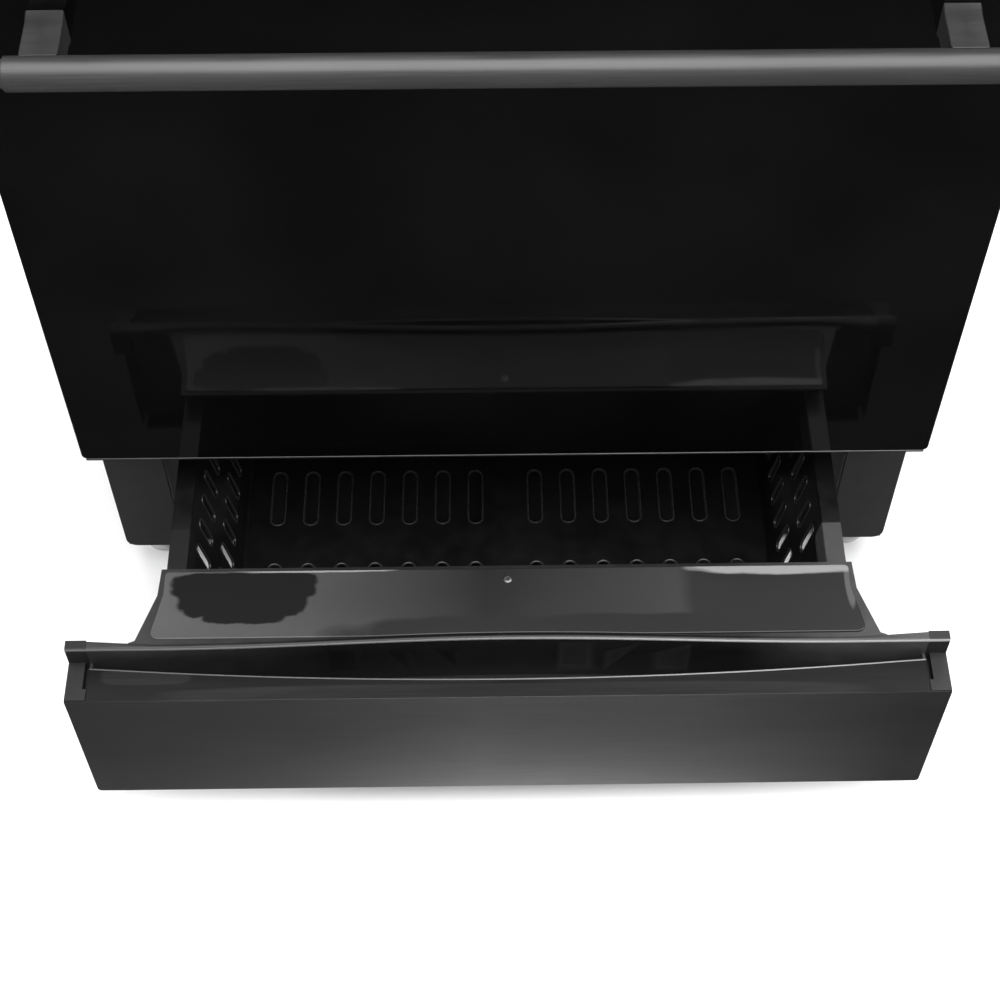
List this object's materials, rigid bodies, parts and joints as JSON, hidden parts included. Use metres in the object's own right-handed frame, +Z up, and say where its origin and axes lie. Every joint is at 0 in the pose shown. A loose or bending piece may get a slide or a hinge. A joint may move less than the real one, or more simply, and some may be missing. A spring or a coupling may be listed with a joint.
{
  "type": "freestanding gas range",
  "caption": "Freestanding gas range with a drop-down black glass oven door, a slotted storage drawer standing open, front knobs, surface burners and cast grates.",
  "frame": {"origin": "On the floor, under the middle of the box of the range with its drawer open.", "axes": "+Z up, the front faces -Y, +X to the right as seen from the front."},
  "size_m": [0.76, 0.889, 0.985],
  "materials": {
    "black_paint": "satin black paint",
    "dark_steel": "dark brushed steel, horizontal grain",
    "knob_metal": "dark brushed steel",
    "grey_steel": "bare galvanised steel",
    "black_glass": "opaque black gloss glass",
    "clear_glass": "tinted clear glass",
    "enamel": "black porcelain enamel with fine specks",
    "cast_iron": "matt black",
    "aluminium": "cast, satin",
    "chrome": "bright plated wire",
    "gloss_plastic": "gloss black moulding",
    "black_plastic": "satin black moulding",
    "nylon": "natural nylon",
    "seal": "braided glass fibre rope"
  },
  "bodies": {
    "body": {"side_panel_left": "black_paint", "side_panel_right": "black_paint", "front_frame": "black_paint", "control_panel": "dark_steel", "backguard": "dark_steel", "back_panel": "grey_steel", "chassis_frame": "grey_steel", "hinge_bracket_left": "grey_steel", "hinge_bracket_right": "grey_steel", "oven_burner": "grey_steel", "oven_liner": "enamel", "oven_floor_plate": "enamel", "cooktop": "enamel", "grate_left": "cast_iron", "grate_right": "cast_iron", "burner_cap_front_left": "cast_iron", "burner_cap_rear_left": "cast_iron", "burner_cap_rear_right": "cast_iron", "burner_cap_front_right": "cast_iron", "burner_base_front_left": "aluminium", "burner_base_rear_left": "aluminium", "burner_base_rear_right": "aluminium", "burner_base_front_right": "aluminium", "gas_manifold": "aluminium", "door_seal": "seal"},
    "door": {"door_glass": "black_glass", "door_frame": "dark_steel", "door_inner_panel": "enamel", "door_inner_glass": "clear_glass", "door_handle_bar": "dark_steel", "door_handle_bracket_left": "dark_steel", "door_handle_bracket_right": "dark_steel", "door_hinge_left": "grey_steel", "door_hinge_right": "grey_steel"},
    "drawer": {"drawer_tub": "black_paint", "drawer_front_panel": "dark_steel", "drawer_pull": "gloss_plastic", "drawer_end_cap_left": "black_plastic", "drawer_end_cap_right": "black_plastic", "pull_screw": "chrome"},
    "lower_rack": {"oven_rack_lower": "chrome"},
    "upper_rack": {"oven_rack_upper": "chrome"},
    "leg_front_left": {"levelling_leg_front_left": "black_plastic"},
    "leg_front_right": {"levelling_leg_front_right": "black_plastic"},
    "leg_rear_left": {"levelling_leg_rear_left": "black_plastic"},
    "leg_rear_right": {"levelling_leg_rear_right": "black_plastic"},
    "stem_front_left": {"valve_stem_front_left": "grey_steel"},
    "dial_front_left": {"knob_front_left": "knob_metal"},
    "stem_rear_left": {"valve_stem_rear_left": "grey_steel"},
    "dial_rear_left": {"knob_rear_left": "knob_metal"},
    "stem_oven": {"valve_stem_oven": "grey_steel"},
    "dial_oven": {"knob_oven": "knob_metal"},
    "stem_rear_right": {"valve_stem_rear_right": "grey_steel"},
    "dial_rear_right": {"knob_rear_right": "knob_metal"},
    "stem_front_right": {"valve_stem_front_right": "grey_steel"},
    "dial_front_right": {"knob_front_right": "knob_metal"},
    "roller_front_left": {"front_roller_left": "nylon"},
    "roller_front_right": {"front_roller_right": "nylon"},
    "roller_rear_left": {"rear_roller_left": "nylon"},
    "roller_rear_right": {"rear_roller_right": "nylon"}
  },
  "joints": [
    {"name": "door_swing", "type": "hinge", "parent": "body", "child": "door", "pos_m": [0, -0.2035, 0.265], "axis": [1, 0, 0], "range_deg": [0, 90]},
    {"name": "drawer_slide", "type": "slide", "parent": "body", "child": "drawer", "axis": [0, -1, 0], "range_m": [-0.219, 0.15]},
    {"name": "lower_rack_slide", "type": "slide", "parent": "body", "child": "lower_rack", "axis": [0, -1, 0], "range_m": [0, 0.02]},
    {"name": "upper_rack_slide", "type": "slide", "parent": "body", "child": "upper_rack", "axis": [0, -1, 0], "range_m": [0, 0.02]},
    {"name": "leg_turn_front_left", "type": "hinge", "parent": "body", "child": "leg_front_left", "pos_m": [-0.35, -0.1355, 0.02], "axis": [0, 0, 1], "continuous": true},
    {"name": "leg_turn_front_right", "type": "hinge", "parent": "body", "child": "leg_front_right", "pos_m": [0.35, -0.1355, 0.02], "axis": [0, 0, 1], "continuous": true},
    {"name": "leg_turn_rear_left", "type": "hinge", "parent": "body", "child": "leg_rear_left", "pos_m": [-0.35, 0.3945, 0.02], "axis": [0, 0, 1], "continuous": true},
    {"name": "leg_turn_rear_right", "type": "hinge", "parent": "body", "child": "leg_rear_right", "pos_m": [0.35, 0.3945, 0.02], "axis": [0, 0, 1], "continuous": true},
    {"name": "push_front_left", "type": "slide", "parent": "body", "child": "stem_front_left", "axis": [0, 1, 0], "range_m": [0, 0.003], "stiffness_N_per_m": 600},
    {"name": "turn_front_left", "type": "hinge", "parent": "stem_front_left", "child": "dial_front_left", "pos_m": [-0.3, -0.2175, 0.848], "axis": [0, -1, 0], "range_deg": [0, 240]},
    {"name": "push_rear_left", "type": "slide", "parent": "body", "child": "stem_rear_left", "axis": [0, 1, 0], "range_m": [0, 0.003], "stiffness_N_per_m": 600},
    {"name": "turn_rear_left", "type": "hinge", "parent": "stem_rear_left", "child": "dial_rear_left", "pos_m": [-0.185, -0.2175, 0.848], "axis": [0, -1, 0], "range_deg": [0, 240]},
    {"name": "push_oven", "type": "slide", "parent": "body", "child": "stem_oven", "axis": [0, 1, 0], "range_m": [0, 0.003], "stiffness_N_per_m": 600},
    {"name": "turn_oven", "type": "hinge", "parent": "stem_oven", "child": "dial_oven", "pos_m": [0, -0.2175, 0.848], "axis": [0, -1, 0], "range_deg": [0, 285]},
    {"name": "push_rear_right", "type": "slide", "parent": "body", "child": "stem_rear_right", "axis": [0, 1, 0], "range_m": [0, 0.003], "stiffness_N_per_m": 600},
    {"name": "turn_rear_right", "type": "hinge", "parent": "stem_rear_right", "child": "dial_rear_right", "pos_m": [0.185, -0.2175, 0.848], "axis": [0, -1, 0], "range_deg": [0, 240]},
    {"name": "push_front_right", "type": "slide", "parent": "body", "child": "stem_front_right", "axis": [0, 1, 0], "range_m": [0, 0.003], "stiffness_N_per_m": 600},
    {"name": "turn_front_right", "type": "hinge", "parent": "stem_front_right", "child": "dial_front_right", "pos_m": [0.3, -0.2175, 0.848], "axis": [0, -1, 0], "range_deg": [0, 240]},
    {"name": "front_roller_turn_left", "type": "hinge", "parent": "body", "child": "roller_front_left", "pos_m": [-0.294, -0.1615, 0.1915], "axis": [1, 0, 0], "continuous": true},
    {"name": "rear_roller_turn_left", "type": "hinge", "parent": "drawer", "child": "roller_rear_left", "pos_m": [-0.3095, 0.1335, 0.1915], "axis": [1, 0, 0], "continuous": true},
    {"name": "front_roller_turn_right", "type": "hinge", "parent": "body", "child": "roller_front_right", "pos_m": [0.294, -0.1615, 0.1915], "axis": [1, 0, 0], "continuous": true},
    {"name": "rear_roller_turn_right", "type": "hinge", "parent": "drawer", "child": "roller_rear_right", "pos_m": [0.3095, 0.1335, 0.1915], "axis": [1, 0, 0], "continuous": true}
  ],
  "couplings": [
    {"joint": "front_roller_turn_left", "follows": "drawer_slide", "rad_per_m": 111.11},
    {"joint": "front_roller_turn_right", "follows": "drawer_slide", "rad_per_m": 111.11},
    {"joint": "rear_roller_turn_left", "follows": "drawer_slide", "rad_per_m": 111.11},
    {"joint": "rear_roller_turn_right", "follows": "drawer_slide", "rad_per_m": 111.11}
  ]
}
